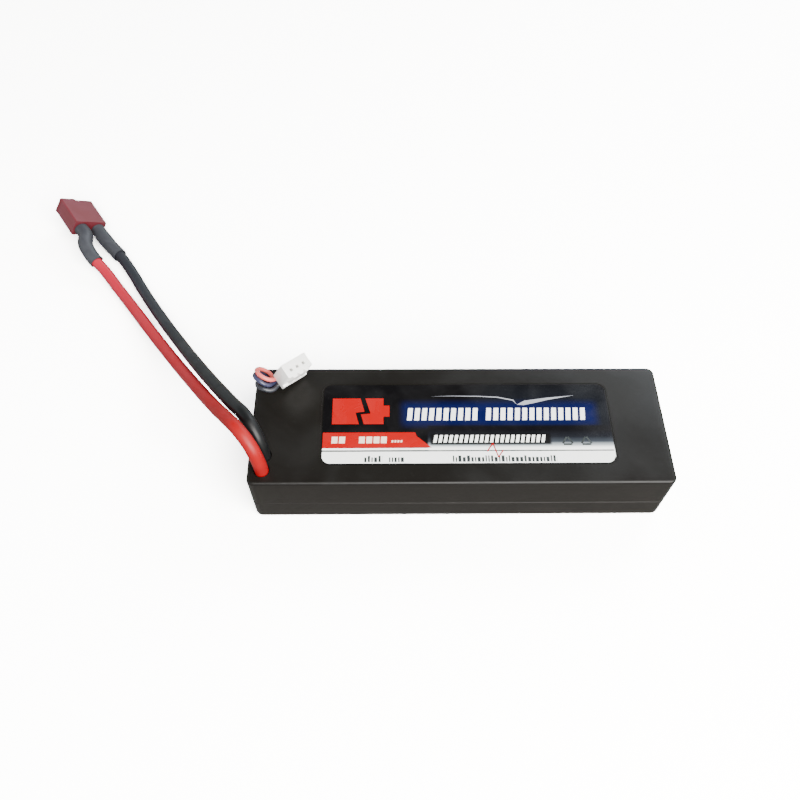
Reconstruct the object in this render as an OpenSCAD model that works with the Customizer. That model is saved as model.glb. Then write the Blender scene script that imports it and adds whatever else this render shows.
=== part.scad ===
// Hard-cased two-cell lithium polymer battery pack.
// Origin at the bottom centre of the case, +X along its length away from the leads, +Z up.

/* [Case] */
// Length of the case along X
case_l = 138; // [137:0.5:139]
// Width of the case along Y
case_w = 45; // [44:0.5:47]
// Height of the case
case_h = 24.5; // [24:0.1:25.1]
// Wall thickness
wall_t = 1.8; // [1.6:0.1:1.9]
// Radius of the upright corners
corner_r = 2.5; // [2.2:0.1:3.5]
// Radius round the rim of the top face
top_edge_r = 1; // [0.6:0.1:1.4]
// Radius round the rim of the base
base_edge_r = 1.8; // [1:0.1:2]
// Height of the glued seam between the two shells
seam_h = 10.3; // [9.6:0.1:10.4]
// Chamfer on each shell at the seam
seam_v = 0.2; // [0.1:0.05:0.3]

/* [Label] */
// Length of the label
label_l = 96; // [90:100]
// Width of the label
label_w = 30.6; // [28:0.2:34]
// Corner radius of the label
label_r = 2.8; // [1:0.2:4]
// Thickness of the label film
label_t = 0.15; // [0.1:0.01:0.18]
// Offset of the label along X from the middle of the case
label_x = 2.5; // [0:0.5:4]

/* [Cells] */
// Length of a pouch cell without its sealed end
cell_l = 112; // [100:112]
// Width of a pouch cell over its folded side seals
cell_w = 39.6; // [36:0.1:40]
// Thickness of a pouch cell
cell_t = 6.6; // [6:0.1:6.6]
// Thickness of the pad between the cells
middle_pad_t = 1; // [1:0.1:1.2]

/* [Main leads] */
// Outside diameter of a main lead
lead_d = 4.5; // [4:0.1:4.5]
// Outside diameter of a heat-shrink sleeve
sleeve_d = 5.8; // [5.6:0.1:6]

/* [Plug] */
// Length of the plug body from its mating face to its wire end
plug_l = 14; // [13.5:0.5:15]
// Width of the plug body
plug_w = 14; // [13.6:0.1:14.4]
// Thickness of the plug body
plug_t = 7.1; // [6.9:0.1:7.3]

/* [Balance lead] */
// Outside diameter of a balance wire
wire_d = 1.5; // [1.3:0.1:1.6]
// Distance between the connector's pins
pitch = 2.5; // [2.5]
// Width of the balance connector across its pins
conn_w = 9.8; // [9.6:0.1:10]
// Thickness of the balance connector
conn_t = 5.75; // [5.7:0.05:5.8]
// Length of the balance connector
conn_l = 9.8; // [9.6:0.1:10]

/* [Hidden] */
$fn = 48;
nothing = 0.01;

// Inside of the case
room_l = case_l - 2 * wall_t;
room_w = case_w - 2 * wall_t;
room_r = corner_r - wall_t;
floor_z = wall_t;
ceiling_z = case_h - wall_t;
tongue_t = 0.8;
tongue_h = 1.2;
fit_gap = 0.05;

// The stack of pads and cells, from the floor up
cells_x0 = -46.5;
lower_z = floor_z + 2.8;
middle_z = lower_z + cell_t;
upper_z = middle_z + middle_pad_t;
stack_top = upper_z + cell_t;
seal_l = 4;
seal_t = 0.3;
tab_w = 7;
tab_t = 0.2;
tab_l = 4;
tab_y = 10;

// The circuit board lies between the levels of the cells' tabs
board_x0 = -66.6;
board_l = 15.1;
board_w = 39.2;
board_top = upper_z;
board_t = middle_pad_t;
post_r = 1.8;
pin_r = 0.9;
posts = [[-62.5, -4], [-62.5, 10], [-53.8, 0]];

// Where the leads and wires come through the top
lead_hole_r = 2.6;
wire_hole_r = 2.8;
red_exit = [-64.3, -17.3];
black_exit = [-64, -12];
wire_exit = [-64.4, 17.8];
lead_start_z = 14.5;
wire_start_z = 13.4;

// Routes down the middle of the leads, from the circuit board to the plug
red_route = [
    [-64.3, -17.3, 14.5], [-64.3, -17.3, 25.5], [-64.7, -17, 31.2], [-66.7, -14.5, 36.2],
    [-70.4, -10.2, 38.2], [-74.8, -4.6, 35.6], [-80.3, 2.8, 30.4], [-92, 19.5, 20],
    [-104, 36.5, 11.8], [-116, 53.5, 5.8], [-128.3, 70.5, 2.6], [-134.5, 78.5, 2.6],
    [-140.5, 86, 4], [-146.2, 91.8, 6.4], [-149.5, 96.8, 8.1], [-149.8, 101.1, 8.4],
    [-150.4, 102, 8.5]
];
black_route = [
    [-64, -12, 14.5], [-64, -12, 25], [-64.4, -11.1, 30.4], [-66.3, -7.9, 34.3],
    [-69.5, -3.1, 35.3], [-73.8, 2.2, 33.1], [-79.1, 9.3, 29.7], [-90.5, 25.8, 20.9],
    [-101.5, 42.5, 12.8], [-112.5, 59.3, 6.5], [-123.8, 76.8, 2.9], [-129.5, 86, 2.5],
    [-135.7, 94.7, 2.9], [-141.3, 100.8, 3.5], [-145.6, 106, 4.1]
];
red_sleeve_route = [
    [-152.8, 105.3, 9], [-150.4, 102, 8.5], [-149.5, 96.8, 8.1], [-146.2, 91.8, 6.4],
    [-144.2, 89.7, 5.5]
];
black_sleeve_route = [
    [-148.1, 109.4, 4.6], [-145.6, 106, 4.1], [-141.3, 100.8, 3.5], [-136.6, 95.7, 3]
];

// Routes down the middle of the balance wires, from the circuit board to their crimps
black_wire_route = [
    [-65.4, 16, 13.4], [-65.5, 16.1, 16.2], [-65.7, 16.5, 19.1], [-65.8, 17.1, 21.9],
    [-66.2, 17.4, 24.6], [-67.8, 16.1, 26.5], [-67.8, 13.3, 27.3], [-65.8, 11.7, 27.8],
    [-63, 11.8, 26.9], [-61, 14.1, 26.5], [-59.4, 15.4, 27.7], [-58.2, 15.1, 30.1]
];
blue_wire_route = [
    [-65.4, 18.5, 13.4], [-65.3, 18.6, 16.9], [-65.4, 18.7, 20.4], [-65.7, 19, 23.9],
    [-67.5, 18.7, 26.8], [-68.8, 16.6, 29], [-67.2, 13.7, 30], [-64.3, 12.9, 28.3],
    [-62.5, 15.1, 26.4], [-60.1, 17.2, 25.6], [-57.6, 17.4, 26.9], [-56.4, 16.8, 29.8]
];
red_wire_route = [
    [-62.9, 18.5, 13.4], [-62.9, 18.6, 16.7], [-63.2, 18.9, 20.1], [-63.6, 19.2, 23.4],
    [-65.1, 19.8, 26.2], [-67.5, 19.5, 28.4], [-67.9, 17, 30.4], [-65.8, 14.6, 30.6],
    [-63, 14.5, 29.1], [-61.2, 16.8, 27.6], [-59.1, 19.2, 26.7], [-56.2, 19.1, 27],
    [-54.6, 18.5, 29.4]
];

// The plug lies tipped on one lower corner
plug_place = [-154.7, 113.2, 7.8];
plug_turn = [-35.5, 7.2, -54.5];
flat_slot_y = -3.7;
upright_slot_y = 3.9;
slot_t = 2.4;
slot_w = 6;
contact_t = 0.9;
terminal_w = 3.8;
terminal_l = 4.5;

// The balance connector leans on its wires beside their hole
conn_place = [-57.44, 17.38, 27.46];
conn_turn = [25.7, 8.4, 42.5];
crimp_z = 2.6;

// ---- plane shapes ----

// A rectangle about the origin with round corners
module round_rect(l, w, r) {
    square([l - 2 * r, w], center = true);
    square([l, w - 2 * r], center = true);
    for (x = [-1, 1], y = [-1, 1])
        translate([x * (l / 2 - r), y * (w / 2 - r)]) circle(r);
}

// Half the section of a wall: rounded at the rim below, chamfered at the seam above
module rim_section(r, h, edge, chamfer) {
    polygon([
        [0, 0], [r - edge, 0], [r - edge, edge], [r, edge],
        [r, h - chamfer], [r - chamfer, h], [0, h]
    ]);
    intersection() {
        translate([r - edge, edge]) circle(edge);
        translate([r - edge, 0]) square(edge);
    }
}

// ---- solids ----

// A block with round upright corners, a rounded lower rim and a chamfered upper one
module shell_blank(l, w, h, r, edge, chamfer) {
    core_l = l - 2 * r;
    core_w = w - 2 * r;
    translate([-core_l / 2, -core_w / 2, 0]) cube([core_l, core_w, h]);
    for (side = [0:3]) {
        along = side % 2 == 0 ? core_w : core_l;
        reach = side % 2 == 0 ? core_l : core_w;
        rotate(side * 90) translate([reach / 2, along / 2, 0]) {
            rotate([90, 0, 0]) linear_extrude(along) rim_section(r, h, edge, chamfer);
            rotate_extrude(angle = 90) rim_section(r, h, edge, chamfer);
        }
    }
}

// An upright slug between two points in plan
module slug(a, b, r, h) {
    step = b - a;
    for (p = [a, b]) translate(p) cylinder(r = r, h = h);
    translate(a) rotate(atan2(step.y, step.x)) translate([0, -r, 0]) cube([norm(step), 2 * r, h]);
}

// ---- cords ----

function unit(v) = v / norm(v);
function square_off(v, t) = unit(v - (v * t) * t);
function headings(p) = [
    for (i = [0:len(p) - 1]) unit(p[min(i + 1, len(p) - 1)] - p[max(i - 1, 0)])
];
// A sideways direction carried along the route without twisting
function sideways(t, i) = square_off(i == 0 ? [1, 0.3, 0.1] : sideways(t, i - 1), t[i]);
function rings(p, r, sides) =
    let (t = headings(p)) [
        for (i = [0:len(p) - 1]) let (v = sideways(t, i), w = cross(t[i], v))
            for (k = [0:sides - 1])
                p[i] + r * (cos(k * 360 / sides) * v + sin(k * 360 / sides) * w)
    ];
// Faces of a ring of points swept along; first is the index of its first point
function skin(n, sides, first = 0, inward = false) = [
    for (i = [0:n - 2], k = [0:sides - 1])
        let (a = first + i * sides + k, b = first + i * sides + (k + 1) % sides)
            inward ? [a, b, b + sides, a + sides] : [a, a + sides, b + sides, b]
];

// A solid round cord along a route
module cord(route, r, sides) {
    n = len(route);
    polyhedron(
        points = rings(route, r, sides),
        faces = concat(
            skin(n, sides),
            [[for (k = [0:sides - 1]) k]],
            [[for (k = [sides - 1:-1:0]) (n - 1) * sides + k]]
        ),
        convexity = 6
    );
}

// A sleeve open at both ends along a route
module sleeve(route, r_out, r_in, sides) {
    n = len(route);
    inner = n * sides;
    last = (n - 1) * sides;
    polyhedron(
        points = concat(rings(route, r_out, sides), rings(route, r_in, sides)),
        faces = concat(
            skin(n, sides),
            skin(n, sides, inner, true),
            [for (k = [0:sides - 1])
                let (m = (k + 1) % sides) [k, m, inner + m, inner + k]],
            [for (k = [0:sides - 1])
                let (m = (k + 1) % sides)
                    [last + m, last + k, inner + last + k, inner + last + m]]
        ),
        convexity = 6
    );
}

// ---- case ----

module room(z0, z1) {
    translate([0, 0, z0]) linear_extrude(z1 - z0) round_rect(room_l, room_w, room_r);
}

// Ribs that stop the cells from sliding towards the circuit board
module cell_stops(z0, z1) {
    for (y = [-1, 1])
        translate([cells_x0 - 1.3, y * (room_w / 2 - 2) - 2.25, z0]) cube([1.2, 4.5, z1 - z0]);
}

module lower_shell() color([0.09, 0.09, 0.09]) {
    difference() {
        shell_blank(case_l, case_w, seam_h, corner_r, base_edge_r, seam_v);
        room(floor_z, seam_h + 1);
        // Rebate for the upper shell's tongue
        translate([0, 0, seam_h - tongue_h - 0.1]) linear_extrude(tongue_h + 1)
            round_rect(
                room_l + 2 * (tongue_t + fit_gap), room_w + 2 * (tongue_t + fit_gap),
                room_r + tongue_t
            );
    }
    cell_stops(floor_z, board_top - board_t - 1.2);
    // Posts that carry the circuit board
    for (p = posts) translate([p.x, p.y, floor_z - nothing]) {
        cylinder(r = post_r, h = board_top - board_t - floor_z + nothing);
        cylinder(r = pin_r, h = board_top + 0.5 - floor_z);
    }
}

module upper_shell() color([0.08, 0.08, 0.08]) {
    difference() {
        union() {
            difference() {
                translate([0, 0, case_h]) mirror([0, 0, 1])
                    shell_blank(
                        case_l, case_w, case_h - seam_h, corner_r, top_edge_r, seam_v
                    );
                room(seam_h - 1, ceiling_z);
            }
            // Tongue that locates the shells on each other
            translate([0, 0, seam_h - tongue_h]) linear_extrude(tongue_h + 1) difference() {
                round_rect(room_l + 2 * tongue_t, room_w + 2 * tongue_t, room_r + tongue_t);
                round_rect(room_l, room_w, room_r);
            }
            cell_stops(board_top + 1, ceiling_z);
            // Collar that holds the leads upright
            translate([0, 0, ceiling_z - 2.2]) slug(red_exit, black_exit, lead_hole_r + 1, 2.3);
        }
        translate([0, 0, ceiling_z - 3]) {
            slug(red_exit, black_exit, lead_hole_r, 6);
            translate(wire_exit) cylinder(r = wire_hole_r, h = 6);
        }
        // Shallow seat for the label
        translate([label_x, 0, case_h - 0.2]) linear_extrude(1)
            round_rect(label_l + 1, label_w + 1, label_r + 0.5);
    }
}

module label() color([0.1, 0.12, 0.2])
    translate([label_x, 0, case_h - 0.2]) linear_extrude(label_t)
        round_rect(label_l, label_w, label_r);

// ---- cells and what holds them ----

// A pouch cell with its side seals folded up; seal_z is the height of its sealed end
module pouch(z0, seal_z) {
    body_w = cell_w - 2 * seal_t;
    translate([cells_x0, 0, z0 + cell_t / 2]) rotate([90, 0, 90])
        linear_extrude(cell_l) round_rect(body_w, cell_t, 1);
    for (y = [-1, 1])
        translate([cells_x0, y * (cell_w - seal_t) / 2 - seal_t / 2, z0 + 0.9])
            cube([cell_l, seal_t, cell_t - 1.8]);
    translate([cells_x0 - seal_l, -19, seal_z]) cube([seal_l + 1, 38, seal_t]);
}

module lower_cell() color([0.75, 0.76, 0.78]) pouch(lower_z, middle_z - seal_t);

module upper_cell() color([0.75, 0.76, 0.78]) pouch(upper_z, upper_z);

module tab_pair(z0) {
    for (y = [-tab_y, tab_y])
        translate([cells_x0 - seal_l - tab_l, y - tab_w / 2, z0]) cube([tab_l, tab_w, tab_t]);
}

module lower_cell_tabs() color([0.8, 0.8, 0.82]) tab_pair(middle_z - tab_t);

module upper_cell_tabs() color([0.8, 0.8, 0.82]) tab_pair(board_top);

// A foam pad from the cells' end, w wide
module pad(z0, z1, w) {
    translate([cells_x0, -w / 2, z0]) cube([cell_l, w, z1 - z0]);
}

module base_pad() color([0.25, 0.25, 0.27]) pad(floor_z, lower_z, 38);

module middle_pad() color([0.85, 0.85, 0.8]) pad(middle_z, upper_z, 36);

module top_pad() color([0.25, 0.25, 0.27]) pad(stack_top, ceiling_z, 38);

module end_pad() color([0.25, 0.25, 0.27])
    translate([cells_x0 + cell_l, -17, lower_z]) cube([room_l / 2 - cells_x0 - cell_l, 34, 14]);

// Two strips of tape over the cells' sealed ends
module seal_tape() color([0.8, 0.55, 0.15]) {
    tape_t = 0.1;
    for (z0 = [middle_z - seal_t - tape_t, upper_z + seal_t])
        translate([cells_x0 - seal_l, -18, z0]) cube([seal_l - 0.1, 36, tape_t]);
}

// ---- circuit board ----

module circuit_board() color([0.05, 0.35, 0.15]) difference() {
    translate([board_x0, -board_w / 2, board_top - board_t]) cube([board_l, board_w, board_t]);
    for (p = posts) translate([p.x, p.y, board_top - board_t - 1]) cylinder(r = pin_r + 0.1, h = 3);
}

module solder_cone(place, z0, z1, r0, r1) {
    translate([place.x, place.y, z0]) cylinder(r1 = r0, r2 = r1, h = z1 - z0);
}

module tab_solder() color([0.7, 0.7, 0.72]) {
    tab_mid = cells_x0 - seal_l - tab_l + 1.4;
    for (y = [-tab_y, tab_y]) {
        solder_cone([tab_mid, y], board_top + tab_t, board_top + tab_t + 0.6, 1.2, 0.6);
        solder_cone([tab_mid, y], middle_z - tab_t - 0.6, middle_z - tab_t, 0.6, 1.2);
    }
}

module lead_solder() color([0.7, 0.7, 0.72])
    for (p = [red_exit, black_exit]) solder_cone(p, board_top, lead_start_z, 2.2, 1.6);

module balance_solder() color([0.7, 0.7, 0.72])
    for (p = [black_wire_route[0], blue_wire_route[0], red_wire_route[0]])
        solder_cone([p.x, p.y], board_top, wire_start_z, 0.95, 0.6);

// ---- main leads ----

module red_lead() color([0.8, 0.08, 0.1]) cord(red_route, lead_d / 2, 12);

module black_lead() color([0.06, 0.06, 0.08]) cord(black_route, lead_d / 2, 12);

module red_sleeve() color([0.05, 0.05, 0.05])
    sleeve(red_sleeve_route, sleeve_d / 2, sleeve_d / 2 - 0.4, 12);

module black_sleeve() color([0.05, 0.05, 0.05])
    sleeve(black_sleeve_route, sleeve_d / 2, sleeve_d / 2 - 0.4, 12);

// ---- plug: X from the mating face to the wire end, Y across the width ----

module at_plug() translate(plug_place) rotate(plug_turn) children();

// A bar along X between two places
module bar(x0, x1, y, w, t) {
    translate([x0, y - w / 2, -t / 2]) cube([x1 - x0, w, t]);
}

module plug_housing() color([0.6, 0.06, 0.08]) at_plug() difference() {
    union() {
        translate([-plug_l / 2, 0, 0]) rotate([90, 0, 90])
            linear_extrude(plug_l) round_rect(plug_w, plug_t, 0.6);
        // Raised lip round the flat slot on the mating face
        translate([-plug_l / 2 - 0.7, 0, 0]) rotate([90, 0, 90]) linear_extrude(1)
            translate([flat_slot_y - 0.1, 0]) round_rect(6.8, plug_t, 0.6);
    }
    // Two slots at right angles for the blades of the mating plug
    bar(-plug_l, 3, flat_slot_y, slot_w, slot_t);
    bar(-plug_l, 3, upright_slot_y, slot_t, slot_w);
    // Narrow passages for the terminals
    bar(0, plug_l, flat_slot_y, terminal_w + 0.2, contact_t + 0.2);
    bar(0, plug_l, upright_slot_y, contact_t + 0.2, terminal_w + 0.2);
}

// A bowed leaf spring with its ends on the plane z = 0
module leaf(l, w, bow, t) {
    r = (l * l / 4 + bow * bow) / (2 * bow);
    translate([0, w / 2, bow - r]) rotate([90, 0, 0]) linear_extrude(w) intersection() {
        difference() {
            circle(r, $fn = 180);
            circle(r - t, $fn = 180);
        }
        translate([-l / 2, r - bow]) square([l, bow + 1]);
    }
}

// Blade contact with a leaf spring and a solder terminal, lying flat about the X axis
module contact() {
    bar(-plug_l / 2 + 1, 3, 0, slot_w - 0.4, contact_t);
    bar(3 - nothing, plug_l / 2 + terminal_l, 0, terminal_w, contact_t);
    translate([-1.6, 0, contact_t / 2 - nothing]) leaf(7.5, 4.4, 0.6, 0.2);
}

module plug_contact_flat() color([0.8, 0.62, 0.25])
    at_plug() translate([0, flat_slot_y, 0]) contact();

module plug_contact_upright() color([0.8, 0.62, 0.25])
    at_plug() translate([0, upright_slot_y, 0]) rotate([90, 0, 0]) contact();

// ---- balance lead ----

module balance_wire_black() color([0.1, 0.1, 0.1]) cord(black_wire_route, wire_d / 2, 8);

module balance_wire_blue() color([0.1, 0.15, 0.45]) cord(blue_wire_route, wire_d / 2, 8);

module balance_wire_red() color([0.85, 0.2, 0.2]) cord(red_wire_route, wire_d / 2, 8);

// ---- balance connector: Z from the wire end to the mating face, X along the pins ----

module at_connector() translate(conn_place) rotate(conn_turn) children();

module balance_housing() color([0.93, 0.92, 0.88]) at_connector() {
    front_t = 0.75;
    wall_y = -conn_t / 2 + front_t;
    difference() {
        union() {
            translate([0, front_t / 2, 0]) linear_extrude(conn_l)
                round_rect(conn_w, conn_t - front_t, 0.25);
            // Band round the front at the wire end
            translate([0, wall_y, 0]) linear_extrude(2.1) round_rect(conn_w, 2 * front_t, 0.25);
            // Three rounded fingers that guide the connector into its socket
            for (k = [-1:1]) translate([k * pitch, wall_y, 3.6])
                linear_extrude(conn_l - 3.6) round_rect(1.8, 2 * front_t, 0.6);
        }
        for (k = [-1:1]) translate([k * pitch, 0, 0]) {
            // Cavity for the crimp contact, and the pin's way into it
            translate([-1, -1.1, -1]) cube([2, 2.2, 8.6]);
            translate([-0.5, -0.5, 7]) cube([1, 1, 4]);
            // Window for the contact's locking lance
            translate([-0.6, -conn_t, 2.3]) cube([1.2, conn_t, 1.1]);
        }
    }
}

module balance_crimps() color([0.8, 0.8, 0.75]) at_connector()
    for (k = [-1:1]) translate([k * pitch, 0, crimp_z]) {
        // Barrel closed on the wire, then the box that takes the pin
        cylinder(r = 0.7, h = 1.6);
        difference() {
            translate([-0.75, -0.85, 1.5]) cube([1.5, 1.7, 2.9]);
            translate([-0.55, -0.65, 1.7]) cube([1.1, 1.3, 3]);
        }
    }

lower_shell();
upper_shell();
label();
lower_cell();
upper_cell();
lower_cell_tabs();
upper_cell_tabs();
base_pad();
middle_pad();
top_pad();
end_pad();
seal_tape();
circuit_board();
tab_solder();
lead_solder();
balance_solder();
red_lead();
black_lead();
red_sleeve();
black_sleeve();
plug_housing();
plug_contact_flat();
plug_contact_upright();
balance_wire_black();
balance_wire_blue();
balance_wire_red();
balance_housing();
balance_crimps();
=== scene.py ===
"""Looks for a hard-cased lithium polymer battery pack, laid out as an add-on."""

import math
import random

import bmesh
import bpy
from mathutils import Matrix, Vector


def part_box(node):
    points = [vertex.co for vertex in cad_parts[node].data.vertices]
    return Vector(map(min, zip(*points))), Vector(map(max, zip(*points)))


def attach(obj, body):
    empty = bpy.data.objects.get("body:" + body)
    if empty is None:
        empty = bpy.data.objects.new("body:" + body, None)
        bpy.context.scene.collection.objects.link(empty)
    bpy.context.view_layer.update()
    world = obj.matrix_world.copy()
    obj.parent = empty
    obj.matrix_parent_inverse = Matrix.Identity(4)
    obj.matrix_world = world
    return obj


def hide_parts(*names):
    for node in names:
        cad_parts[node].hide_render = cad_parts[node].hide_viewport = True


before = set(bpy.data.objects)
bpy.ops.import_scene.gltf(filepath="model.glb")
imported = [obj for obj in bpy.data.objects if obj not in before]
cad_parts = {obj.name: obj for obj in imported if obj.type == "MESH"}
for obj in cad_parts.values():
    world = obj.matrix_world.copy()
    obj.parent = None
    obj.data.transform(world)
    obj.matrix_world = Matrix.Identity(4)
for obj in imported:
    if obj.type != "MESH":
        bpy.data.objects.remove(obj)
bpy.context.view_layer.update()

bl_info = {
    "name": "Lipo battery pack",
    "version": (1, 0, 0),
    "blender": (4, 5, 0),
    "location": "3D View > Sidebar > Battery pack",
    "description": "Finishes a hard-cased battery pack with its leads, plug and balance connector",
    "category": "Object",
}

MM = 0.001

# The camera's place in metres, its turn in radians and its lens in mm
CAMERA_PLACE = (-0.0229, -0.13322, 0.24637)
CAMERA_TURN = (0.5707, -0.0087, -0.0094)
CAMERA_LENS = 34.95
CAMERA_SENSOR = 36.0
CAMERA_NEAR = 0.005

# Each soft light: name, place, point that it faces, size, power and tint
KEY_LIGHT = ("Key", (0.45, -0.75, 0.95), (0, 0, 0), (1.3, 1.3), 88.0, (1.0, 0.985, 0.96))
WINDOW_LIGHT = (
    "Window", (0.55, 0.75, 0.75), (0.04, 0, 0.02), (0.5, 0.4), 7.0, (0.86, 0.93, 1.0),
)

FLOOR_REACH = 3.0
HORIZON = (0.85, 0.9, 0.92)
OVERHEAD = (0.075, 0.06, 0.05)
SKY_STRENGTH = 1.5

# Where along X, in metres, the leads' colour starts to turn paler and where it is fully paler: a
# painted glare, a haze of light painted into the leads near the plug
GLARE_START = -0.08
GLARE_END = -0.148

# The printed film: its top in metres, the depth of one layer of ink, and its sides in mm
FILM_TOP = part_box("label")[1].z
PRINT_DEPTH = 0.02 * MM
PRINT_SINK = 0.01 * MM
PRINT_LEFT = -45.2
PRINT_RIGHT = 50.2
PRINT_BOTTOM = -15.05
PRINT_CORNER = 2.6
CORNER_STEPS = 6

# Soft boxes on the film, in metres
FILM_GLOW = {"Middle_X": 0.0137, "Middle_Y": 0.0036, "Half_X": 0.0325, "Half_Y": 0.0044,
             "Softness": 0.0021}
FILM_HAZE = {"Middle_X": 0.03, "Middle_Y": 0.004, "Half_X": 0.022, "Half_Y": 0.009,
             "Softness": 0.009}
FILM_FADE = {"Middle_X": 0.036, "Middle_Y": -0.007, "Half_X": 0.0465, "Half_Y": 0.006,
             "Softness": 0.0005}
FILM_SHADE = {"Middle_X": 0.0101, "Middle_Y": -0.0062, "Half_X": 0.0199, "Half_Y": 0.0021,
              "Softness": 0.0006}

# The fade's colours between its near and far side, and those two sides in metres
FADE_STOPS = (
    (0.0, (0.86, 0.88, 0.88)), (0.14, (0.3, 0.33, 0.35)), (0.34, (0.028, 0.034, 0.042)),
    (0.62, (0.006, 0.007, 0.01)), (1.0, (0.002, 0.002, 0.003)),
)
FADE_NEAR = -0.0094
FADE_FAR = -0.0028

# Edges sharper than this many degrees are rounded, or stay sharp in the shading
SHARP_ANGLE = 30.0
SMOOTH_ANGLE = 35.0
SLEEVE_SMOOTH_ANGLE = 50.0
WELD_DISTANCE = 0.002 * MM
FLAT_ANGLE = 1.0

# Detail of the cords: points of the curve between two points of a route, and round it
CORD_STEPS = 10
CORD_ROUNDNESS = 7

# Detail of the shrunk sleeves: points round them and between two points of their route
SLEEVE_SIDES = 28
SLEEVE_STEPS = 10
SLEEVE_WALL = 0.42
SLEEVE_WAVE = (0.97, 1.0, 1.03, 1.0, 0.98, 1.0)

# Where the leads and the balance wires leave the case, in mm
RED_EXIT = (-64.3, -17.3, 24.5)
BLACK_EXIT = (-64, -12, 24.5)

# Routes down the middle of each lead and wire, in mm, from the circuit board outwards
RED_ROUTE = [
    (-64.3, -17.3, 14.5), (-64.3, -17.3, 25.5), (-64.7, -17, 31.2), (-66.7, -14.5, 36.2),
    (-70.4, -10.2, 38.2), (-74.8, -4.6, 35.6), (-80.3, 2.8, 30.4), (-92, 19.5, 20),
    (-104, 36.5, 11.8), (-116, 53.5, 5.8), (-128.3, 70.5, 2.6), (-134.5, 78.5, 2.6),
    (-140.5, 86, 4), (-146.2, 91.8, 6.4), (-149.5, 96.8, 8.1), (-149.8, 101.1, 8.4),
    (-150.4, 102, 8.5),
]
BLACK_ROUTE = [
    (-64, -12, 14.5), (-64, -12, 25), (-64.4, -11.1, 30.4), (-66.3, -7.9, 34.3),
    (-69.5, -3.1, 35.3), (-73.8, 2.2, 33.1), (-79.1, 9.3, 29.7), (-90.5, 25.8, 20.9),
    (-101.5, 42.5, 12.8), (-112.5, 59.3, 6.5), (-123.8, 76.8, 2.9), (-129.5, 86, 2.5),
    (-135.7, 94.7, 2.9), (-141.3, 100.8, 3.5), (-145.6, 106, 4.1),
]
RED_SLEEVE_ROUTE = [
    (-152.8, 105.3, 9), (-150.4, 102, 8.5), (-149.5, 96.8, 8.1), (-146.2, 91.8, 6.4),
    (-144.2, 89.7, 5.5),
]
BLACK_SLEEVE_ROUTE = [
    (-148.1, 109.4, 4.6), (-145.6, 106, 4.1), (-141.3, 100.8, 3.5), (-136.6, 95.7, 3),
]
BLACK_WIRE_ROUTE = [
    (-65.4, 16, 13.4), (-65.5, 16.1, 16.2), (-65.7, 16.5, 19.1), (-65.8, 17.1, 21.9),
    (-66.2, 17.4, 24.6), (-67.8, 16.1, 26.5), (-67.8, 13.3, 27.3), (-65.8, 11.7, 27.8),
    (-63, 11.8, 26.9), (-61, 14.1, 26.5), (-59.4, 15.4, 27.7), (-58.2, 15.1, 30.1),
]
BLUE_WIRE_ROUTE = [
    (-65.4, 18.5, 13.4), (-65.3, 18.6, 16.9), (-65.4, 18.7, 20.4), (-65.7, 19, 23.9),
    (-67.5, 18.7, 26.8), (-68.8, 16.6, 29), (-67.2, 13.7, 30), (-64.3, 12.9, 28.3),
    (-62.5, 15.1, 26.4), (-60.1, 17.2, 25.6), (-57.6, 17.4, 26.9), (-56.4, 16.8, 29.8),
]
RED_WIRE_ROUTE = [
    (-62.9, 18.5, 13.4), (-62.9, 18.6, 16.7), (-63.2, 18.9, 20.1), (-63.6, 19.2, 23.4),
    (-65.1, 19.8, 26.2), (-67.5, 19.5, 28.4), (-67.9, 17, 30.4), (-65.8, 14.6, 30.6),
    (-63, 14.5, 29.1), (-61.2, 16.8, 27.6), (-59.1, 19.2, 26.7), (-56.2, 19.1, 27),
    (-54.6, 18.5, 29.4),
]


# ---- settings ----


def colour(name, description, default):
    """A colour that the user can change."""
    return bpy.props.FloatVectorProperty(
        name=name, description=description, default=default,
        size=3, min=0.0, max=1.0, subtype="COLOR",
    )


def ratio(name, description, default, high=1.0):
    """A plain number from 0 to high."""
    return bpy.props.FloatProperty(
        name=name, description=description, default=default,
        min=0.0, max=high, subtype="FACTOR",
    )


def length(name, description, default):
    """A length in metres."""
    return bpy.props.FloatProperty(
        name=name, description=description, default=default, min=0.0, unit="LENGTH",
    )


class CaseSettings(bpy.types.PropertyGroup):
    shell: colour("Shell", "Colour of the moulded shells", (0.0046, 0.0039, 0.0032))
    dust: colour("Dust", "Colour of the dust on the shells", (0.016, 0.0165, 0.015))
    roughness: ratio("Roughness", "How matt the shells are", 0.36)
    grain: length("Grain", "Depth of the moulded grain", 0.000012)


class LabelSettings(bpy.types.PropertyGroup):
    ground: colour("Ground", "Dark ground of the label", (0.002, 0.002, 0.0024))
    glow: colour("Glow", "Glow behind the gauge", (0.001, 0.003, 0.036))
    red: colour("Red", "Red print", (0.3, 0.0008, 0.001))
    white: colour("White", "White print", (0.93, 0.94, 0.92))
    silver: colour("Silver", "Silver print", (0.26, 0.27, 0.3))
    cream: colour("Cream", "Cream print", (0.85, 0.62, 0.5))
    ink: colour("Ink", "Black print", (0.02, 0.025, 0.025))


class LeadSettings(bpy.types.PropertyGroup):
    diameter: length("Lead diameter", "Outside diameter of a main lead", 0.0045)
    sleeve_diameter: length("Sleeve diameter", "Outside diameter of a shrunk sleeve", 0.0058)
    red: colour("Red", "Red silicone", (0.24, 0.0022, 0.0035))
    # These two colours near the plug are painted glare: lighter, paler silicone that stands in for
    # a haze of light
    red_under_glare: colour("Red under glare", "Red silicone near the plug", (0.33, 0.012, 0.03))
    black: colour("Black", "Black silicone", (0.003, 0.0033, 0.0036))
    black_under_glare: colour("Black under glare", "Black silicone near the plug", (0.017, 0.018, 0.025))
    sleeve: colour("Sleeve", "Shrunk sleeve", (0.024, 0.0255, 0.031))


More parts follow.
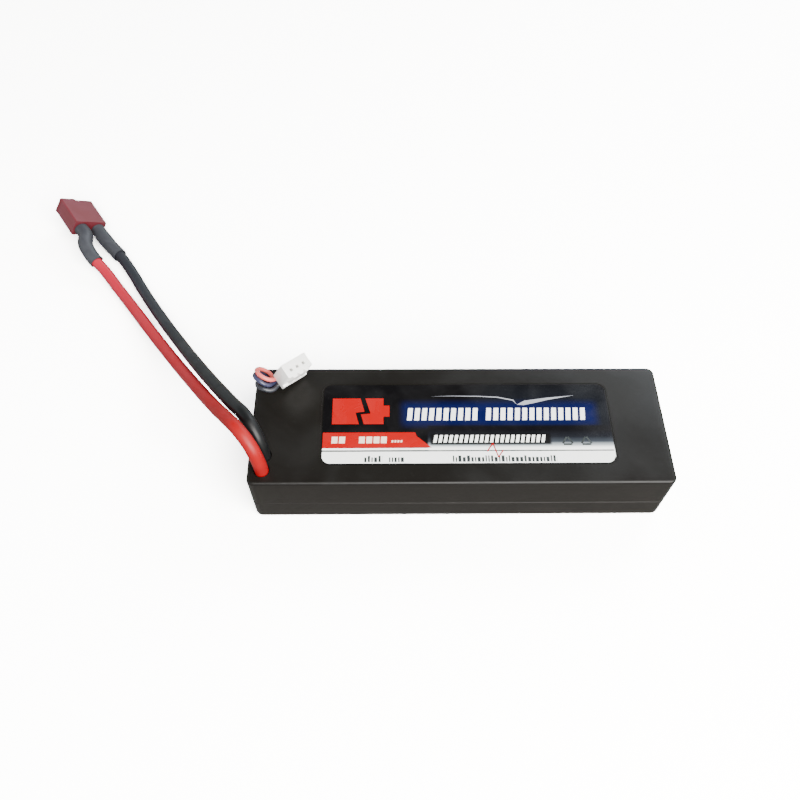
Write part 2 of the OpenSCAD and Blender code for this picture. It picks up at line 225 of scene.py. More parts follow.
class PlugSettings(bpy.types.PropertyGroup):
    nylon: colour("Nylon", "Moulded housing", (0.085, 0.008, 0.012))
    bloom: colour("Bloom", "Pale bloom on the housing", (0.115, 0.025, 0.038))
    gold: colour("Gold", "Plating of the contacts", (0.83, 0.6, 0.25))


class BalanceSettings(bpy.types.PropertyGroup):
    diameter: length("Wire diameter", "Outside diameter of a balance wire", 0.0015)
    black: colour("Black", "First wire", (0.022, 0.024, 0.03))
    blue: colour("Blue", "Middle wire", (0.026, 0.028, 0.06))
    red: colour("Red", "Last wire", (0.6, 0.1, 0.085))
    nylon: colour("Nylon", "Connector housing", (0.9, 0.89, 0.86))


class StageSettings(bpy.types.PropertyGroup):
    floor: colour("Floor", "Colour of the table", (0.9, 0.895, 0.885))
    floor_gain: ratio("Floor gain", "How much brighter the table looks", 4.2, 10.0)
    bounce: colour("Bounce", "Light that the table gives back", (0.18, 0.175, 0.165))
    key: ratio("Key light", "Strength of the main soft light", 1.0, 10.0)


SETTINGS = {
    "case": CaseSettings,
    "label": LabelSettings,
    "lead": LeadSettings,
    "plug": PlugSettings,
    "balance": BalanceSettings,
    "stage": StageSettings,
}


def settings(context, part):
    """The scene's settings for one part of the pack."""
    return getattr(context.scene, "pack_" + part)


# ---- shader nodes ----


def add_group(name, inputs, outputs):
    """A shader node group with its input and output nodes; sockets are (name, type, default)."""
    group = bpy.data.node_groups.new(name, "ShaderNodeTree")
    for direction, sockets in (("INPUT", inputs), ("OUTPUT", outputs)):
        for socket_name, kind, default in sockets:
            socket = group.interface.new_socket(
                name=socket_name, in_out=direction, socket_type="NodeSocket" + kind
            )
            if default is not None:
                socket.default_value = default
    return group, group.nodes.new("NodeGroupInput"), group.nodes.new("NodeGroupOutput")


def wire(tree, source, target):
    """Joins two sockets of a node tree."""
    tree.links.new(source, target)


def sum_of(tree, operation, a, b, clamp=False):
    """A Math node; a and b are sockets or numbers."""
    node = tree.nodes.new("ShaderNodeMath")
    node.operation = operation
    node.use_clamp = clamp
    for socket, value in zip(node.inputs, (a, b)):
        if isinstance(value, (int, float)):
            socket.default_value = value
        else:
            wire(tree, value, socket)
    return node.outputs[0]


def stretch(tree, value, low, high, out_low, out_high, smooth=False):
    """A Map Range node that clamps its result."""
    node = tree.nodes.new("ShaderNodeMapRange")
    node.interpolation_type = "SMOOTHSTEP" if smooth else "LINEAR"
    for socket, amount in zip(node.inputs, (value, low, high, out_low, out_high)):
        if isinstance(amount, (int, float)):
            socket.default_value = amount
        else:
            wire(tree, amount, socket)
    return node.outputs[0]


def blend_colours(tree, factor, a, b):
    """A colour mix; a and b are sockets or colours."""
    node = tree.nodes.new("ShaderNodeMix")
    node.data_type = "RGBA"
    for socket, value in ((node.inputs[0], factor), (node.inputs[6], a), (node.inputs[7], b)):
        if isinstance(value, (int, float)):
            socket.default_value = value
        elif isinstance(value, bpy.types.NodeSocket):
            wire(tree, value, socket)
        else:
            socket.default_value = (*value, 1.0)
    return node.outputs[2]


def noise(tree, scale, detail, distortion=0.0):
    """A noise in object coordinates; scale is a socket or a number."""
    node = tree.nodes.new("ShaderNodeTexNoise")
    node.inputs["Detail"].default_value = detail
    node.inputs["Distortion"].default_value = distortion
    if isinstance(scale, (int, float)):
        node.inputs["Scale"].default_value = scale
    else:
        wire(tree, scale, node.inputs["Scale"])
    place = tree.nodes.new("ShaderNodeTexCoord")
    wire(tree, place.outputs["Object"], node.inputs["Vector"])
    return node.outputs["Fac"]


def moulded_grain_group():
    """Fine spark-eroded grain as a height."""
    tree, given, result = add_group(
        "Moulded grain", [("Scale", "Float", 2500.0)], [("Height", "Float", None)]
    )
    fine = noise(tree, given.outputs["Scale"], 2.0)
    coarse = noise(tree, sum_of(tree, "MULTIPLY", given.outputs["Scale"], 0.3), 1.0)
    wire(tree, sum_of(tree, "ADD", fine, sum_of(tree, "MULTIPLY", coarse, 0.5)),
         result.inputs["Height"])
    return tree


def handling_group():
    """Smudges and fine dust: a tint mask and a roughness that vary over the surface."""
    tree, given, result = add_group(
        "Handling",
        [("Scale", "Float", 60.0), ("Base", "Color", None), ("Dust", "Color", None),
         ("Amount", "Float", 0.5), ("Gloss", "Float", 0.3), ("Matt", "Float", 0.5)],
        [("Color", "Color", None), ("Roughness", "Float", None)],
    )
    smudge = noise(tree, given.outputs["Scale"], 4.0, distortion=0.6)
    speck = noise(tree, sum_of(tree, "MULTIPLY", given.outputs["Scale"], 22.0), 1.0)
    patches = stretch(tree, smudge, 0.35, 0.7, 0.0, 1.0, smooth=True)
    specks = stretch(tree, speck, 0.66, 0.76, 0.0, 1.0)
    mask = sum_of(tree, "ADD", sum_of(tree, "MULTIPLY", patches, 0.6),
                  sum_of(tree, "MULTIPLY", specks, 0.5), clamp=True)
    amount = sum_of(tree, "MULTIPLY", mask, given.outputs["Amount"])
    wire(tree, blend_colours(tree, amount, given.outputs["Base"], given.outputs["Dust"]),
         result.inputs["Color"])
    wire(tree, stretch(tree, patches, 0.0, 1.0, given.outputs["Gloss"], given.outputs["Matt"]),
         result.inputs["Roughness"])
    return tree


def soft_box_group():
    """A rectangle with soft edges in X and Y, in metres, as a mask."""
    tree, given, result = add_group(
        "Soft box",
        [("Middle X", "Float", 0.0), ("Middle Y", "Float", 0.0), ("Half X", "Float", 0.01),
         ("Half Y", "Float", 0.01), ("Softness", "Float", 0.002)],
        [("Mask", "Float", None)],
    )
    place = tree.nodes.new("ShaderNodeTexCoord")
    split = tree.nodes.new("ShaderNodeSeparateXYZ")
    wire(tree, place.outputs["Object"], split.inputs[0])
    masks = []
    for axis in "XY":
        away = sum_of(tree, "SUBTRACT", split.outputs[axis], given.outputs["Middle " + axis])
        away = sum_of(tree, "ABSOLUTE", away, 0.0)
        edge = given.outputs["Half " + axis]
        inner = sum_of(tree, "SUBTRACT", edge, given.outputs["Softness"])
        outer = sum_of(tree, "ADD", edge, given.outputs["Softness"])
        masks.append(stretch(tree, away, inner, outer, 1.0, 0.0, smooth=True))
    wire(tree, sum_of(tree, "MULTIPLY", *masks), result.inputs["Mask"])
    return tree


GROUP_MAKERS = {
    "Moulded grain": moulded_grain_group,
    "Handling": handling_group,
    "Soft box": soft_box_group,
}


def place_group(tree, name, **values):
    """The named group as a node of the tree, made on first use."""
    group = bpy.data.node_groups.get(name) or GROUP_MAKERS[name]()
    node = tree.nodes.new("ShaderNodeGroup")
    node.node_tree = group
    for socket_name, value in values.items():
        socket = node.inputs[socket_name.replace("_", " ")]
        if isinstance(value, bpy.types.NodeSocket):
            wire(tree, value, socket)
        elif isinstance(value, (int, float)):
            socket.default_value = value
        else:
            socket.default_value = (*value, 1.0)
    return node


def start_material(name, **sockets):
    """A material with its Principled shader; values are set on the shader's own sockets."""
    material = bpy.data.materials.new(name)
    material.use_nodes = True
    shader = material.node_tree.nodes["Principled BSDF"]
    for socket_name, value in sockets.items():
        shader.inputs[socket_name.replace("_", " ")].default_value = value
    return material, material.node_tree, shader


def bump(tree, shader, height, depth):
    """Feeds a height in units of depth metres to the shader's normal."""
    node = tree.nodes.new("ShaderNodeBump")
    node.inputs["Strength"].default_value = 1.0
    node.inputs["Distance"].default_value = depth
    wire(tree, height, node.inputs["Height"])
    wire(tree, node.outputs[0], shader.inputs["Normal"])


def surface(name, base, dust=None, amount=0.4, scale=60.0, gloss=0.3, matt=0.5,
            grain=2500.0, depth=0.000008, **sockets):
    """A finish that varies with handling and has a fine grain."""
    material, tree, shader = start_material(name, **sockets)
    if dust is None:
        dust = tuple(min(1.0, c * 1.5 + 0.01) for c in base)
    handling = place_group(tree, "Handling", Scale=scale, Base=tuple(base), Dust=tuple(dust),
                           Amount=amount, Gloss=gloss, Matt=matt)
    wire(tree, handling.outputs["Color"], shader.inputs["Base Color"])
    wire(tree, handling.outputs["Roughness"], shader.inputs["Roughness"])
    texture = place_group(tree, "Moulded grain", Scale=grain)
    bump(tree, shader, texture.outputs["Height"], depth)
    return material


def glare_tinted_surface(name, base, glare_tint, start, end, **rest):
    """A surface whose colour shifts along X between two places, in metres, into a paler painted
    glare.
    """
    material = surface(name, base, **rest)
    tree = material.node_tree
    handling = next(n for n in tree.nodes if n.type == "GROUP" and "Base" in n.inputs)
    split = tree.nodes.new("ShaderNodeSeparateXYZ")
    wire(tree, tree.nodes.new("ShaderNodeTexCoord").outputs["Object"], split.inputs[0])
    along = stretch(tree, split.outputs["X"], start, end, 0.0, 1.0)
    wire(tree, blend_colours(tree, along, tuple(base), tuple(glare_tint)), handling.inputs["Base"])
    return material


# ---- shapes ----


def link_object(name, data):
    """A new object in the scene for a mesh, curve, light or camera."""
    obj = bpy.data.objects.new(name, data)
    bpy.context.scene.collection.objects.link(obj)
    return obj


def finish_mesh(name, bm, material, smooth_angle=SMOOTH_ANGLE):
    """A new object from a bmesh, with smooth shading that keeps its sharp edges."""
    bmesh.ops.recalc_face_normals(bm, faces=bm.faces)
    for face in bm.faces:
        face.smooth = True
    limit = math.radians(smooth_angle)
    for edge in bm.edges:
        edge.smooth = edge.is_manifold and edge.calc_face_angle(0.0) < limit
    mesh = bpy.data.meshes.new(name)
    bm.to_mesh(mesh)
    bm.free()
    mesh.materials.append(material)
    return link_object(name, mesh)


def softened(node, name, material, width, segments=2):
    """A piece that stands for a CAD node, with its sharp edges rounded by width."""
    bm = bmesh.new()
    bm.from_mesh(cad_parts[node].data)
    bmesh.ops.remove_doubles(bm, verts=bm.verts, dist=WELD_DISTANCE)
    bmesh.ops.dissolve_limit(
        bm, angle_limit=math.radians(FLAT_ANGLE), verts=bm.verts, edges=bm.edges
    )
    if width > 0:
        sharp = [
            e for e in bm.edges
            if e.is_manifold and e.calc_face_angle(0.0) > math.radians(SHARP_ANGLE)
        ]
        bmesh.ops.bevel(
            bm, geom=sharp, offset=width, segments=segments, profile=0.6,
            affect="EDGES", clamp_overlap=True,
        )
    obj = finish_mesh(name, bm, material)
    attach(obj, "root")
    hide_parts(node)
    return obj


def dress(node, material):
    """Gives a carried-over CAD node its finish."""
    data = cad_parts[node].data
    data.materials.clear()
    data.materials.append(material)


def outline_prism(bm, outline, z0, z1):
    """A closed prism on an outline of (x, y) points in mm."""
    low = [bm.verts.new((x * MM, y * MM, z0)) for x, y in outline]
    high = [bm.verts.new((x * MM, y * MM, z1)) for x, y in outline]
    bm.faces.new(list(reversed(low)))
    bm.faces.new(high)
    for i in range(len(outline)):
        j = (i + 1) % len(outline)
        bm.faces.new((low[i], low[j], high[j], high[i]))


def smooth_line(points, steps):
    """Points on a smooth curve through the given ones."""
    p = [Vector(q) for q in points]
    p = [2 * p[0] - p[1], *p, 2 * p[-1] - p[-2]]
    line = []
    for a, b, c, d in zip(p, p[1:], p[2:], p[3:]):
        for k in range(steps):
            t = k / steps
            line.append(0.5 * (
                2 * b + (c - a) * t + (2 * a - 5 * b + 4 * c - d) * t * t
                + (3 * b - a - 3 * c + d) * t ** 3
            ))
    return [*line, p[-2]]


def route_curve(name, route, diameter, material):
    """A round cord as a curve of one open spline through a route in mm."""
    curve = bpy.data.curves.new(name, "CURVE")
    curve.dimensions = "3D"
    curve.resolution_u = CORD_STEPS
    curve.bevel_depth = diameter / 2
    curve.bevel_resolution = CORD_ROUNDNESS
    curve.use_fill_caps = True
    spline = curve.splines.new("BEZIER")
    spline.bezier_points.add(len(route) - 1)
    for point, place in zip(spline.bezier_points, route):
        point.co = Vector(place) * MM
        point.handle_left_type = point.handle_right_type = "AUTO"
    curve.materials.append(material)
    return link_object(name, curve)


def swept_sleeve(name, route, radii, material):
    """A tube open at both ends along a route in mm; radii gives its outside from end to end."""
    line = smooth_line(route, SLEEVE_STEPS)
    count = len(line)
    bm = bmesh.new()
    side = Vector((1, 0.3, 0.1))
    rings = []
    for i, middle in enumerate(line):
        ahead = (line[min(i + 1, count - 1)] - line[max(i - 1, 0)]).normalized()
        side = (side - side.dot(ahead) * ahead).normalized()
        across = ahead.cross(side)
        share = i / (count - 1) * (len(radii) - 1)
        k = min(int(share), len(radii) - 2)
        outer = radii[k] + (radii[k + 1] - radii[k]) * (share - k)
        pair = []
        for radius in (outer, outer - SLEEVE_WALL):
            pair.append([
                bm.verts.new((middle + radius * (
                    math.cos(2 * math.pi * s / SLEEVE_SIDES) * side
                    + math.sin(2 * math.pi * s / SLEEVE_SIDES) * across
                )) * MM) for s in range(SLEEVE_SIDES)
            ])
        rings.append(pair)
    for s in range(SLEEVE_SIDES):
        t = (s + 1) % SLEEVE_SIDES
        for (outer, inner), (outer_next, inner_next) in zip(rings, rings[1:]):
            bm.faces.new((outer[s], outer[t], outer_next[t], outer_next[s]))
            bm.faces.new((inner[t], inner[s], inner_next[s], inner_next[t]))
        for outer, inner in (rings[0], rings[-1]):
            bm.faces.new((outer[s], outer[t], inner[t], inner[s]))
    return finish_mesh(name, bm, material, SLEEVE_SMOOTH_ANGLE)


# ---- operators ----


class PACK_OT_stage(bpy.types.Operator):
    """Adds the camera, the floor and the soft lights"""

    bl_idname = "pack.stage"
    bl_label = "Stage"

    def execute(self, context):
        chosen = settings(context, "stage")
        camera_data = bpy.data.cameras.new("Camera")
        camera_data.lens = CAMERA_LENS
        camera_data.sensor_width = CAMERA_SENSOR
        camera_data.clip_start = CAMERA_NEAR
        camera = link_object("Camera", camera_data)
        camera.location = CAMERA_PLACE
        camera.rotation_euler = CAMERA_TURN
        context.scene.camera = camera

        self.floor(chosen)
        self.sky(context.scene)
        self.area(*KEY_LIGHT, chosen.key)
        self.area(*WINDOW_LIGHT)
        return {"FINISHED"}

    def floor(self, chosen):
        """A wide pale table, brighter to the eye than the light that it gives back."""
        bm = bmesh.new()
        bmesh.ops.create_grid(bm, x_segments=1, y_segments=1, size=FLOOR_REACH)
        material = bpy.data.materials.new("Pale table")
        material.use_nodes = True
        tree = material.node_tree
        tree.nodes.remove(tree.nodes["Principled BSDF"])
        diffuse = tree.nodes.new("ShaderNodeBsdfDiffuse")
        wire(tree, diffuse.outputs[0], tree.nodes["Material Output"].inputs["Surface"])
        seen = tree.nodes.new("ShaderNodeLightPath").outputs["Is Camera Ray"]
        wire(tree, blend_colours(tree, seen, tuple(chosen.bounce),
                                 tuple(c * chosen.floor_gain for c in chosen.floor)),
             diffuse.inputs["Color"])
        finish_mesh("Floor", bm, material)

    def sky(self, scene):
        """A dim room: darker overhead, lighter towards the horizon and on the right."""
        world = scene.world or bpy.data.worlds.new("World")
        scene.world = world
        world.use_nodes = True
        tree = world.node_tree
        background = tree.nodes["Background"]
        split = tree.nodes.new("ShaderNodeSeparateXYZ")
        wire(tree, tree.nodes.new("ShaderNodeTexCoord").outputs["Generated"], split.inputs[0])
        side = sum_of(tree, "MULTIPLY", split.outputs["X"], 0.09)
        height = sum_of(tree, "SUBTRACT", split.outputs["Z"], side)
        height = stretch(tree, height, 0.45, 0.84, 0.0, 1.0, smooth=True)
        wire(tree, blend_colours(tree, height, HORIZON, OVERHEAD), background.inputs["Color"])
        background.inputs["Strength"].default_value = SKY_STRENGTH

    def area(self, name, place, target, size, power, tint, gain=1.0):
        """A soft rectangular light that faces its target."""
        data = bpy.data.lights.new(name, "AREA")
        data.shape = "RECTANGLE"
        data.size, data.size_y = size
        data.energy = power * gain
        data.color = tint
        lamp = link_object(name, data)
        lamp.location = place
        toward = Vector(target) - Vector(place)
        lamp.rotation_euler = toward.to_track_quat("-Z", "Y").to_euler()


class PACK_OT_plug(bpy.types.Operator):
    """Finishes the T-plug's housing and contacts"""

    bl_idname = "pack.plug"
    bl_label = "T-plug"

    def execute(self, context):
        chosen = settings(context, "plug")
        nylon = surface("Plug nylon", chosen.nylon, chosen.bloom, amount=0.7, scale=90.0,
                        gloss=0.4, matt=0.55, depth=0.00001)
        housing = softened("plug_housing", "plug_body", nylon, 0.35 * MM, 3)
        gold = surface("Plug contact", chosen.gold, scale=200.0, gloss=0.18, matt=0.32,
                       depth=0.000004, Metallic=1.0)
        for node in ("plug_contact_flat", "plug_contact_upright"):
            contact = softened(node, node.replace("plug_contact", "contact_blade"), gold,
                               0.08 * MM)
        return {"FINISHED"}


class PACK_OT_leads(bpy.types.Operator):
    """Lays the two main leads and their shrunk sleeves"""

    bl_idname = "pack.leads"
    bl_label = "Main leads"

    def execute(self, context):
        chosen = settings(context, "lead")
        sleeve_finish = surface(
            "Shrunk sleeve", chosen.sleeve, amount=0.5, scale=150.0, gloss=0.42, matt=0.62,
            depth=0.00002, grain=900.0, Specular_IOR_Level=0.35,
        )
        outer = chosen.sleeve_diameter / 2 / MM
        for name, route, sleeve_route, exit_at, base, glare_tint, contact in (
            ("red", RED_ROUTE, RED_SLEEVE_ROUTE, RED_EXIT, chosen.red, chosen.red_under_glare,
             "contact_blade_flat"),
            ("black", BLACK_ROUTE, BLACK_SLEEVE_ROUTE, BLACK_EXIT, chosen.black,
             chosen.black_under_glare, "contact_blade_upright"),
        ):
            # Towards the plug the silicone pales into its second colour: painted glare, a haze of
            # light painted into the colour
            silicone = glare_tinted_surface(
                name.capitalize() + " silicone", base, glare_tint, GLARE_START, GLARE_END,
                dust=tuple(min(1.0, c * 1.25 + 0.004) for c in base), amount=0.35,
                scale=120.0, gloss=0.34, matt=0.52, depth=0.00001, grain=1600.0,
                Specular_IOR_Level=0.25,
            )
            lead = route_curve(name + "_wire", route, chosen.diameter, silicone)
            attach(lead, "root")
            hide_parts(name + "_lead")
            sleeve = swept_sleeve(
                name + "_shrink", sleeve_route, [outer * s for s in SLEEVE_WAVE],
                sleeve_finish,
            )
            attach(sleeve, "root")
            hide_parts(name + "_sleeve")
        return {"FINISHED"}


class PACK_OT_balance(bpy.types.Operator):
    """Finishes the balance connector and lays its three wires"""

    bl_idname = "pack.balance"
    bl_label = "Balance lead"

    def execute(self, context):
        chosen = settings(context, "balance")
        nylon = surface("Connector nylon", chosen.nylon, (0.62, 0.6, 0.55), amount=0.25,
                        scale=180.0, gloss=0.3, matt=0.45, depth=0.000006)
        housing = softened("balance_housing", "balance_body", nylon, 0.12 * MM)
        tin = surface("Tinned crimp", (0.62, 0.6, 0.56), scale=400.0, gloss=0.25, matt=0.4,
                      depth=0.000004, Metallic=1.0)
        crimps = softened("balance_crimps", "crimp_contacts", tin, 0.05 * MM)
        for name, route, base in (
            ("black", BLACK_WIRE_ROUTE, chosen.black),
            ("blue", BLUE_WIRE_ROUTE, chosen.blue),
            ("red", RED_WIRE_ROUTE, chosen.red),
        ):
            skin = surface(name.capitalize() + " wire insulation", base, amount=0.3,
                           scale=300.0, gloss=0.25, matt=0.4, depth=0.000004)
            strand = route_curve("thin_wire_" + name, route, chosen.diameter, skin)
            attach(strand, "root")
            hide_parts("balance_wire_" + name)
        return {"FINISHED"}


class PACK_OT_case(bpy.types.Operator):
    """Finishes the two shells of the case"""

    bl_idname = "pack.case"
    bl_label = "Case"

    def execute(self, context):
        chosen = settings(context, "case")
        plastic = surface("Moulded plastic", chosen.shell, chosen.dust, amount=0.22, scale=38.0,
                          gloss=chosen.roughness - 0.04, matt=chosen.roughness + 0.1,
                          grain=2600.0, depth=chosen.grain)
        shader = plastic.node_tree.nodes["Principled BSDF"]
        shader.inputs["Specular IOR Level"].default_value = 0.22
        for node in ("lower_shell", "upper_shell"):
            shell = softened(node, node.replace("shell", "moulding"), plastic, 0.0)
        return {"FINISHED"}


class PACK_OT_label(bpy.types.Operator):
    """Finishes the label film and prints its plain graphics"""

    bl_idname = "pack.label"
    bl_label = "Label"

    def execute(self, context):
        chosen = settings(context, "label")
        self.film(chosen)
        self.layer("print_red", self.red_shapes(), 1, chosen.red)
        self.layer("print_white", self.white_shapes(), 1, chosen.white)
        self.layer("print_silver", self.silver_shapes(), 1, chosen.silver)
        self.layer("print_cream", self.cream_shapes(), 2, chosen.cream)
        self.layer("print_black", self.ink_shapes(), 2, chosen.ink)
        self.layer("print_pulse", self.pulse_shapes(), 3, chosen.red)
        return {"FINISHED"}

    def film(self, chosen):
        """The film's ground: a glow behind the gauge and a fade to white at the right."""
        material, tree, shader = start_material("Label film", Specular_IOR_Level=0.35)
        glow = place_group(tree, "Soft box", **FILM_GLOW).outputs["Mask"]
        haze = place_group(tree, "Soft box", **FILM_HAZE).outputs["Mask"]
        right = place_group(tree, "Soft box", **FILM_FADE).outputs["Mask"]
        split = tree.nodes.new("ShaderNodeSeparateXYZ")
        wire(tree, tree.nodes.new("ShaderNodeTexCoord").outputs["Object"], split.inputs[0])
        ground = blend_colours(tree, sum_of(tree, "MULTIPLY", haze, 0.6), chosen.ground,
                               (0.004, 0.006, 0.01))
        lit = blend_colours(tree, glow, ground, chosen.glow)
        ramp = tree.nodes.new("ShaderNodeValToRGB")
        while len(ramp.color_ramp.elements) < len(FADE_STOPS):
            ramp.color_ramp.elements.new(0.5)
        for element, (at, value) in zip(ramp.color_ramp.elements, FADE_STOPS):
            element.position = at
            element.color = (*value, 1.0)
        wire(tree, stretch(tree, split.outputs["Y"], FADE_NEAR, FADE_FAR, 0.0, 1.0),
             ramp.inputs[0])
        base = blend_colours(tree, right, lit, ramp.outputs[0])
        shade = place_group(tree, "Soft box", **FILM_SHADE).outputs["Mask"]
        base = blend_colours(tree, shade, base, chosen.ground)
        handling = place_group(tree, "Handling", Scale=70.0, Base=base,
                               Dust=(0.3, 0.3, 0.3), Amount=0.02, Gloss=0.14, Matt=0.2)
        wire(tree, handling.outputs["Color"], shader.inputs["Base Color"])
        wire(tree, handling.outputs["Roughness"], shader.inputs["Roughness"])
        bump(tree, shader, noise(tree, 120.0, 1.0), 0.00001)
        dress("label", material)

    def layer(self, name, shapes, level, ink):
        """One ink as thin closed prisms; a higher level lies on a lower one."""
        finish = surface(name.replace("print_", "").capitalize() + " print", ink,
                         amount=0.06, scale=160.0, gloss=0.22, matt=0.34, grain=900.0,
                         depth=0.000003, Coat_Weight=0.2)
        bm = bmesh.new()
        for shape in shapes:
            outline_prism(bm, shape, FILM_TOP - PRINT_SINK, FILM_TOP + level * PRINT_DEPTH)
        obj = finish_mesh(name, bm, finish)
        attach(obj, "root")

    def slanted(self, x0, x1, y0, y1, lean):
        """A bar whose top is shifted by lean."""
        return [(x0, y0), (x1, y0), (x1 + lean, y1), (x0 + lean, y1)]

    def gauge(self, start, end, count, share, y0, y1, lean):
        """A row of like bars, each filling a share of its pitch."""
        pitch = (end - start) / count
        return [
            self.slanted(start + k * pitch, start + (k + share) * pitch, y0, y1, lean)
            for k in range(count)
        ]

    def rounded(self, x0, x1, y0, y1, r):
        """A rectangle with round corners."""
        points = []
        for cx, cy, start in ((x1 - r, y1 - r, 0), (x0 + r, y1 - r, 90),
                              (x0 + r, y0 + r, 180), (x1 - r, y0 + r, 270)):
            for k in range(CORNER_STEPS + 1):
                a = math.radians(start + 90 * k / CORNER_STEPS)
                points.append((cx + r * math.cos(a), cy + r * math.sin(a)))
        return points

    def red_shapes(self):
        """The band at the left and the emblem above it."""
        band = [(PRINT_LEFT, -9.3), (-9.4, -9.3), (-14.3, -4.9), (-14.7, -3.5),
                (PRINT_LEFT, -3.5)]
        # A battery with a bolt-shaped gap between its halves
        left = [(-42.4, -0.3), (-33.4, -0.3), (-34.6, 4.2), (-31.6, 4.6), (-33, 9.9),
                (-42.4, 9.9)]
        right = [(-31.8, -0.3), (-25.2, -0.3), (-25.2, 2.6), (-23.2, 2.6), (-23.2, 7),
                 (-25.2, 7), (-25.2, 9.9), (-31.4, 9.9), (-29.6, 3.9), (-32.8, 3.5)]
        return [band, left, right]

    def white_shapes(self):
        """The strip along the near edge, the line over it and the rows of bars."""
        top = -10.75
        outline = self.rounded(PRINT_LEFT, PRINT_RIGHT, PRINT_BOTTOM, 0, PRINT_CORNER)
        strip = [p for p in outline if p[1] < top]
        strip = [(PRINT_RIGHT, top), (PRINT_LEFT, top), *strip]
        line = [(PRINT_LEFT, -10.2), (PRINT_RIGHT, -10.2), (PRINT_RIGHT, -9.45),
                (PRINT_LEFT, -9.45)]
        shapes = [strip, line]
        shapes += self.gauge(-17.4, 6.9, 10, 0.66, 1.1, 5.9, 0.5)
        shapes += self.gauge(9.0, 43.1, 14, 0.66, 1.1, 5.9, 0.5)
        shapes += self.gauge(-8.9, 28.4, 22, 0.62, -7.45, -4.6, 0.6)
        return shapes

    def silver_shapes(self):
        """Two thin wings that meet above the gauge."""
        return [
            [(-9, 10.6), (-2.7, 10.7), (7.3, 10.45), (13.6, 10.0), (18.6, 8.8), (19.9, 7.3),
             (18.9, 9.2), (13.6, 10.4), (7.3, 10.75), (-2.7, 10.85)],
            [(19.9, 7.2), (22.2, 7.0), (26, 7.9), (30.6, 9.1), (39.8, 10.9), (30.6, 10),
             (22.6, 8.8)],
        ]

    def cream_shapes(self):
        """Small bars on the red band."""
        return [
            *self.gauge(-42.3, -37.4, 2, 0.8, -7.6, -5.1, 0.1),
            *self.gauge(-33.3, -23.7, 4, 0.8, -7.6, -5.1, 0.1),
            *self.gauge(-22.6, -18.7, 4, 0.6, -7.3, -6.5, 0.1),
        ]

    def ink_shapes(self):
        """A hairline, rows of plain bars and two small signs."""
        draw = random.Random(7)
        shapes = [[(PRINT_LEFT, -10.7), (PRINT_RIGHT, -10.7), (PRINT_RIGHT, -10.3),
                   (PRINT_LEFT, -10.3)]]
        for start, end in ((-31.4, -25.6), (-23.4, -18.4), (-2.7, 31.2)):
            x = start
            while x < end:
                w = draw.choice((0.45, 0.7, 0.95))
                top = draw.choice((-12.9, -12.9, -12.3))
                shapes.append([(x, -14.6), (min(x + w, end), -14.6), (min(x + w, end), top),
                               (x, top)])
                x += w + 0.45
        for x, y, size in ((35.4, -7.2, 2.1), (41.6, -7.2, 2.1)):
            corners = [
                (x + size * math.cos(math.radians(a)), y + size * math.sin(math.radians(a)))
                for a in (90, 210, 330)
            ]
            for a, b in zip(corners, corners[1:] + corners[:1]):
                shapes.append(self.stroke(a, b, 0.6, 0.78))
        return shapes

    def stroke(self, a, b, width, share=1.0):
        """A straight stroke from a to b, shortened about its middle."""
        a, b = Vector(a), Vector(b)
        middle = (a + b) / 2
        half = (b - a) / 2 * share
        side = Vector((-half.y, half.x)).normalized() * width / 2
        return [tuple(q) for q in (middle - half - side, middle + half - side,
                                   middle + half + side, middle - half + side)]

    def pulse_shapes(self):
        """A thin zigzag from the middle gauge down to the small bars."""
        turns = [(8.7, -10.8), (10.7, -7.7), (12.2, -12.9), (13.8, -10.5)]
        return [self.stroke(a, b, 0.38, 1.03) for a, b in zip(turns, turns[1:])]


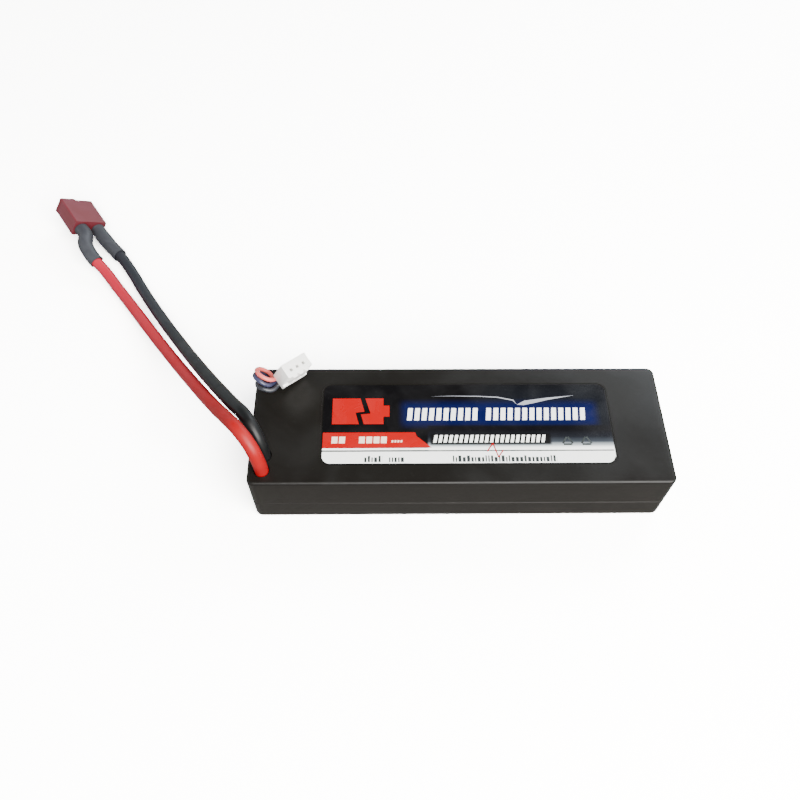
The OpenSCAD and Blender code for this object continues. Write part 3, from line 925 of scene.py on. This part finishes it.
class PACK_OT_inside(bpy.types.Operator):
    """Finishes the cells, pads, tape, circuit board and solder inside the case"""

    bl_idname = "pack.inside"
    bl_label = "Inside"

    def execute(self, context):
        pouch = surface("Cell pouch", (0.7, 0.71, 0.73), amount=0.2, scale=90.0, gloss=0.28,
                        matt=0.42, grain=700.0, depth=0.00003, Metallic=0.9)
        nickel = surface("Nickel tab", (0.66, 0.64, 0.6), scale=400.0, gloss=0.25,
                         matt=0.4, depth=0.000004, Metallic=1.0)
        foam = surface("Foam pad", (0.045, 0.045, 0.05), scale=300.0, gloss=0.85, matt=0.95,
                       grain=1500.0, depth=0.00008)
        tape = surface("Amber tape", (0.6, 0.32, 0.04), scale=200.0, gloss=0.18, matt=0.3,
                       depth=0.000004)
        board = surface("Board mask", (0.018, 0.16, 0.06), scale=200.0, gloss=0.25,
                        matt=0.35, depth=0.00001, grain=1200.0)
        solder = surface("Solder", (0.66, 0.66, 0.67), scale=500.0, gloss=0.15, matt=0.28,
                         depth=0.00001, grain=1800.0, Metallic=1.0)
        for finish, nodes in (
            (pouch, ("lower_cell", "upper_cell")),
            (nickel, ("lower_cell_tabs", "upper_cell_tabs")),
            (foam, ("base_pad", "middle_pad", "top_pad", "end_pad")),
            (tape, ("seal_tape",)),
            (board, ("circuit_board",)),
            (solder, ("tab_solder", "lead_solder", "balance_solder")),
        ):
            for node in nodes:
                dress(node, finish)
        return {"FINISHED"}


class PACK_PT_panel(bpy.types.Panel):
    """Lists the pack's pieces and their settings"""

    bl_idname = "PACK_PT_panel"
    bl_label = "Battery pack"
    bl_space_type = "VIEW_3D"
    bl_region_type = "UI"
    bl_category = "Battery pack"

    def draw(self, context):
        for operator in OPERATORS:
            self.layout.operator(operator.bl_idname)
        for part, group in SETTINGS.items():
            box = self.layout.box()
            box.label(text=part.capitalize())
            for name in group.__annotations__:
                box.prop(settings(context, part), name)


OPERATORS = (
    PACK_OT_stage, PACK_OT_plug, PACK_OT_leads, PACK_OT_balance, PACK_OT_case,
    PACK_OT_label, PACK_OT_inside,
)
CLASSES = (*SETTINGS.values(), *OPERATORS, PACK_PT_panel)


def register():
    for cls in CLASSES:
        bpy.utils.register_class(cls)
    for part, group in SETTINGS.items():
        setattr(bpy.types.Scene, "pack_" + part, bpy.props.PointerProperty(type=group))


def unregister():
    for part in SETTINGS:
        delattr(bpy.types.Scene, "pack_" + part)
    for cls in reversed(CLASSES):
        bpy.utils.unregister_class(cls)


def main():
    register()
    for operator in OPERATORS:
        family, name = operator.bl_idname.split(".")
        getattr(getattr(bpy.ops, family), name)()


if __name__ == "__main__":
    main()
